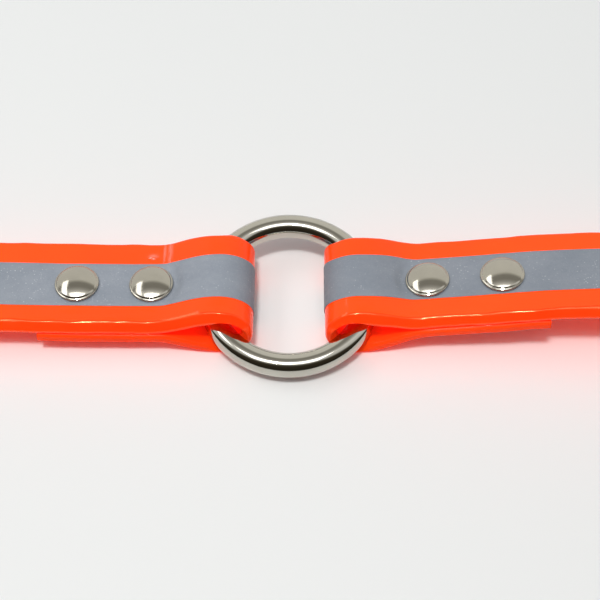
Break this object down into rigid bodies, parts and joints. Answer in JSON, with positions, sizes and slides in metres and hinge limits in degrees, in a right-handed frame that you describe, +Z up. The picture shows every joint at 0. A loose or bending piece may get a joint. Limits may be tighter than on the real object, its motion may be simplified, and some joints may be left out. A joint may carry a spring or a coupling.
{
  "type": "centre ring dog collar",
  "caption": "Flat coated-webbing dog collar opened out, with a welded round ring joining two riveted straps, a reflective tape along the top, a roller buckle, a keeper and punched holes.",
  "frame": {"origin": "middle of the ring in plan, on the table the open collar lies on", "axes": "+X along the collar from the buckle end to the punched end, +Y across the strap away from the viewer, +Z up from the table"},
  "size_m": [0.4302, 0.043, 0.0164],
  "materials": {
    "coated_webbing": "smooth glossy fluorescent orange coat",
    "reflective_tape": "matte silver-grey glass-bead tape with a fine sparkle",
    "ring_nickel": "polished nickel plate",
    "rivet_nickel": "polished nickel plate, fine tool marks",
    "buckle_nickel": "polished nickel plate"
  },
  "bodies": {
    "ring": {"centre_ring": "ring_nickel"},
    "buckle_side_strap": {"buckle_strap": "coated_webbing", "buckle_strap_tape": "reflective_tape", "rivet_ring_left_inner_stud": "rivet_nickel", "rivet_ring_left_inner_post": "rivet_nickel", "rivet_ring_left_outer_stud": "rivet_nickel", "rivet_ring_left_outer_post": "rivet_nickel", "rivet_buckle_front_stud": "rivet_nickel", "rivet_buckle_front_post": "rivet_nickel", "rivet_buckle_rear_stud": "rivet_nickel", "rivet_buckle_rear_post": "rivet_nickel"},
    "punched_strap": {"hole_strap": "coated_webbing", "hole_strap_tape": "reflective_tape", "rivet_ring_right_inner_stud": "rivet_nickel", "rivet_ring_right_inner_post": "rivet_nickel", "rivet_ring_right_outer_stud": "rivet_nickel", "rivet_ring_right_outer_post": "rivet_nickel"},
    "keeper": {"keeper_loop": "buckle_nickel"},
    "buckle": {"buckle_frame": "buckle_nickel"},
    "roller": {"buckle_roller": "buckle_nickel"},
    "tongue": {"buckle_tongue": "buckle_nickel"}
  },
  "joints": [
    {"name": "buckle_strap_swing", "type": "hinge", "parent": "ring", "child": "buckle_side_strap", "pos_m": [-0.01535, 0.00045, 0.0073], "axis": [0, 0.9993, 0.0384], "range_deg": [-85, 90]},
    {"name": "punched_strap_swing", "type": "hinge", "parent": "ring", "child": "punched_strap", "pos_m": [0.01535, 0.00045, 0.0073], "axis": [0, -0.9993, -0.0384], "range_deg": [-85, 90]},
    {"name": "buckle_swing", "type": "hinge", "parent": "buckle_side_strap", "child": "buckle", "pos_m": [-0.1859, 0.00045, 0.0055], "axis": [0, 1, 0], "range_deg": [-80, 30]},
    {"name": "tongue_swing", "type": "hinge", "parent": "buckle", "child": "tongue", "pos_m": [-0.1859, 0.00045, 0.0055], "axis": [0, 1, 0], "range_deg": [0, 90]},
    {"name": "roller_spin", "type": "hinge", "parent": "buckle", "child": "roller", "pos_m": [-0.2118, 0.00045, 0.00328], "axis": [0, 1, 0], "continuous": true},
    {"name": "keeper_slide", "type": "slide", "parent": "buckle_side_strap", "child": "keeper", "axis": [1, 0, 0], "range_m": [-0.0025, 0.0025]}
  ]
}
